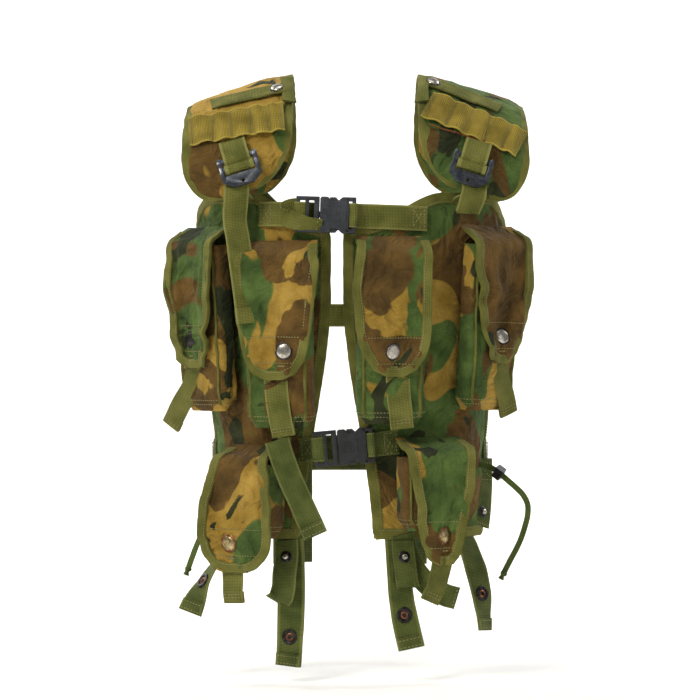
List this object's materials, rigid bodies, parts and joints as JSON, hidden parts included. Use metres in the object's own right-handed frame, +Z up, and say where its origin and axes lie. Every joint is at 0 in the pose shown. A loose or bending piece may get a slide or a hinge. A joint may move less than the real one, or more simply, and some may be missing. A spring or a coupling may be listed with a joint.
{
  "type": "load-bearing vest",
  "caption": "Woodland camouflage load-bearing vest with flapped pouches, padded shoulder straps, side-release chest and waist closures and hanging belt straps.",
  "frame": {"origin": "on the wearer's body axis, in the middle of the chest", "axes": "+Z up along the body, -Y out of the chest, +X to the right of someone facing the vest"},
  "size_m": [0.3728, 0.2629, 0.6082],
  "materials": {
    "camouflage": "matte woven cloth, worn",
    "webbing": "woven nylon webbing",
    "pad_webbing": "woven nylon webbing, faded",
    "tape": "thin woven tape",
    "snap_metal": "worn plated snap",
    "buckle_steel": "worn dark steel",
    "black_nylon": "moulded nylon, fine grain"
  },
  "bodies": {
    "vest": {"front_panel_L": "camouflage", "front_panel_R": "camouflage", "mag_pouch_inner_L": "camouflage", "mag_pouch_outer_L": "camouflage", "mag_pouch_inner_R": "camouflage", "mag_pouch_outer_R": "camouflage", "grenade_pocket_L": "camouflage", "grenade_pocket_R": "camouflage", "shoulder_pad_L": "camouflage", "pad_webbing_L": "pad_webbing", "adjuster_strap_L": "webbing", "shoulder_pad_R": "camouflage", "pad_webbing_R": "pad_webbing", "adjuster_strap_R": "webbing", "chest_socket": "black_nylon", "chest_web_L": "webbing", "chest_web_R": "webbing", "waist_socket": "black_nylon", "waist_web_L": "webbing", "waist_web_R": "webbing", "back_strap_L": "webbing", "back_strap_R": "webbing", "back_cross_upper": "webbing", "back_cross_lower": "webbing", "side_tape_R": "tape", "tape_slider_R": "black_nylon", "side_tape_L": "tape", "tape_slider_L": "black_nylon"},
    "mag_flap_inner_L": {"mag_flap_inner_L": "camouflage", "mag_flap_cap_inner_L": "snap_metal"},
    "mag_flap_outer_L": {"mag_flap_outer_L": "camouflage", "mag_flap_cap_outer_L": "snap_metal"},
    "mag_flap_inner_R": {"mag_flap_inner_R": "camouflage", "mag_flap_cap_inner_R": "snap_metal"},
    "mag_flap_outer_R": {"mag_flap_outer_R": "camouflage", "mag_flap_cap_outer_R": "snap_metal"},
    "grenade_flap_L": {"grenade_flap_L": "camouflage", "grenade_flap_cap_L": "snap_metal"},
    "grenade_flap_R": {"grenade_flap_R": "camouflage", "grenade_flap_cap_R": "snap_metal"},
    "chest_plug": {"chest_plug": "black_nylon"},
    "chest_prong_upper": {"chest_prong_upper": "black_nylon"},
    "chest_prong_lower": {"chest_prong_lower": "black_nylon"},
    "waist_plug": {"waist_plug": "black_nylon"},
    "waist_prong_upper": {"waist_prong_upper": "black_nylon"},
    "waist_prong_lower": {"waist_prong_lower": "black_nylon"},
    "ladder_buckle_L": {"ladder_buckle_L": "buckle_steel"},
    "keeper_strap_L": {"keeper_strap_L": "webbing", "keeper_cap_L": "snap_metal"},
    "ladder_buckle_R": {"ladder_buckle_R": "buckle_steel"},
    "keeper_strap_R": {"keeper_strap_R": "webbing", "keeper_cap_R": "snap_metal"},
    "belt_strap_inner_L": {"belt_strap_inner_L": "webbing", "belt_snap_inner_L": "snap_metal"},
    "belt_strap_outer_L": {"belt_strap_outer_L": "webbing", "belt_snap_outer_L": "snap_metal"},
    "belt_strap_inner_R": {"belt_strap_inner_R": "webbing", "belt_snap_inner_R": "snap_metal"},
    "belt_strap_outer_R": {"belt_strap_outer_R": "webbing", "belt_snap_outer_R": "snap_metal"}
  },
  "joints": [
    {"name": "mag_flap_inner_L_lift", "type": "hinge", "parent": "vest", "child": "mag_flap_inner_L", "pos_m": [-0.069, -0.11104, 0.10905], "axis": [-0.9662, 0.2579, 0], "range_deg": [0, 45]},
    {"name": "mag_flap_outer_L_lift", "type": "hinge", "parent": "vest", "child": "mag_flap_outer_L", "pos_m": [-0.14334, -0.06703, 0.12483], "axis": [-0.6636, 0.7481, 0], "range_deg": [0, 45]},
    {"name": "mag_flap_inner_R_lift", "type": "hinge", "parent": "vest", "child": "mag_flap_inner_R", "pos_m": [0.04036, -0.11659, 0.11312], "axis": [-0.9921, -0.1257, 0], "range_deg": [0, 45]},
    {"name": "mag_flap_outer_R_lift", "type": "hinge", "parent": "vest", "child": "mag_flap_outer_R", "pos_m": [0.1368, -0.07451, 0.12589], "axis": [-0.7192, -0.6948, 0], "range_deg": [0, 45]},
    {"name": "grenade_flap_L_lift", "type": "hinge", "parent": "vest", "child": "grenade_flap_L", "pos_m": [-0.0935, -0.08355, -0.09694], "axis": [-0.8771, 0.4803, 0], "range_deg": [0, 30]},
    {"name": "grenade_flap_R_lift", "type": "hinge", "parent": "vest", "child": "grenade_flap_R", "pos_m": [0.07741, -0.09153, -0.08897], "axis": [-0.9345, -0.356, 0], "range_deg": [0, 30]},
    {"name": "chest_plug_slide", "type": "slide", "parent": "vest", "child": "chest_plug", "axis": [-0.9996, 0, 0.03], "range_m": [0, 0.021]},
    {"name": "chest_prong_upper_squeeze", "type": "hinge", "parent": "chest_plug", "child": "chest_prong_upper", "pos_m": [-0.02962, -0.12443, 0.14769], "axis": [0, 1, 0], "range_deg": [0, 6], "stiffness_Nm_per_rad": 0.4},
    {"name": "chest_prong_lower_squeeze", "type": "hinge", "parent": "chest_plug", "child": "chest_prong_lower", "pos_m": [-0.03038, -0.12443, 0.12231], "axis": [0, -1, 0], "range_deg": [0, 6], "stiffness_Nm_per_rad": 0.4},
    {"name": "waist_plug_slide", "type": "slide", "parent": "vest", "child": "waist_plug", "axis": [-0.996, 0, -0.0899], "range_m": [0, 0.021]},
    {"name": "waist_prong_upper_squeeze", "type": "hinge", "parent": "waist_plug", "child": "waist_prong_upper", "pos_m": [-0.01314, -0.11035, -0.08535], "axis": [0, 1, 0], "range_deg": [0, 6], "stiffness_Nm_per_rad": 0.4},
    {"name": "waist_prong_lower_squeeze", "type": "hinge", "parent": "waist_plug", "child": "waist_prong_lower", "pos_m": [-0.01086, -0.11035, -0.11065], "axis": [0, -1, 0], "range_deg": [0, 6], "stiffness_Nm_per_rad": 0.4},
    {"name": "ladder_buckle_L_tilt", "type": "hinge", "parent": "vest", "child": "ladder_buckle_L", "pos_m": [-0.1132, -0.12241, 0.1918], "axis": [-0.9553, 0, -0.2955], "range_deg": [0, 35]},
    {"name": "keeper_strap_L_open", "type": "hinge", "parent": "vest", "child": "keeper_strap_L", "pos_m": [-0.13949, -0.07596, 0.24767], "axis": [0.1635, -0.8331, -0.5285], "range_deg": [0, 100]},
    {"name": "ladder_buckle_R_tilt", "type": "hinge", "parent": "vest", "child": "ladder_buckle_R", "pos_m": [0.1242, -0.12241, 0.1918], "axis": [-0.9553, 0, 0.2955], "range_deg": [0, 35]},
    {"name": "keeper_strap_R_open", "type": "hinge", "parent": "vest", "child": "keeper_strap_R", "pos_m": [0.15049, -0.07596, 0.24767], "axis": [0.1635, 0.8331, 0.5285], "range_deg": [0, 100]},
    {"name": "belt_strap_inner_L_swing", "type": "hinge", "parent": "vest", "child": "belt_strap_inner_L", "pos_m": [-0.06038, -0.09468, -0.1909], "axis": [-0.968, 0.2508, 0], "range_deg": [0, 25]},
    {"name": "belt_strap_outer_L_swing", "type": "hinge", "parent": "vest", "child": "belt_strap_outer_L", "pos_m": [-0.11709, -0.06412, -0.1909], "axis": [-0.7019, 0.7123, 0], "range_deg": [0, 25]},
    {"name": "belt_strap_inner_R_swing", "type": "hinge", "parent": "vest", "child": "belt_strap_inner_R", "pos_m": [0.04828, -0.09737, -0.1909], "axis": [-0.983, -0.1837, 0], "range_deg": [0, 25]},
    {"name": "belt_strap_outer_R_swing", "type": "hinge", "parent": "vest", "child": "belt_strap_outer_R", "pos_m": [0.11709, -0.06412, -0.1909], "axis": [-0.7019, -0.7123, 0], "range_deg": [0, 25]}
  ]
}
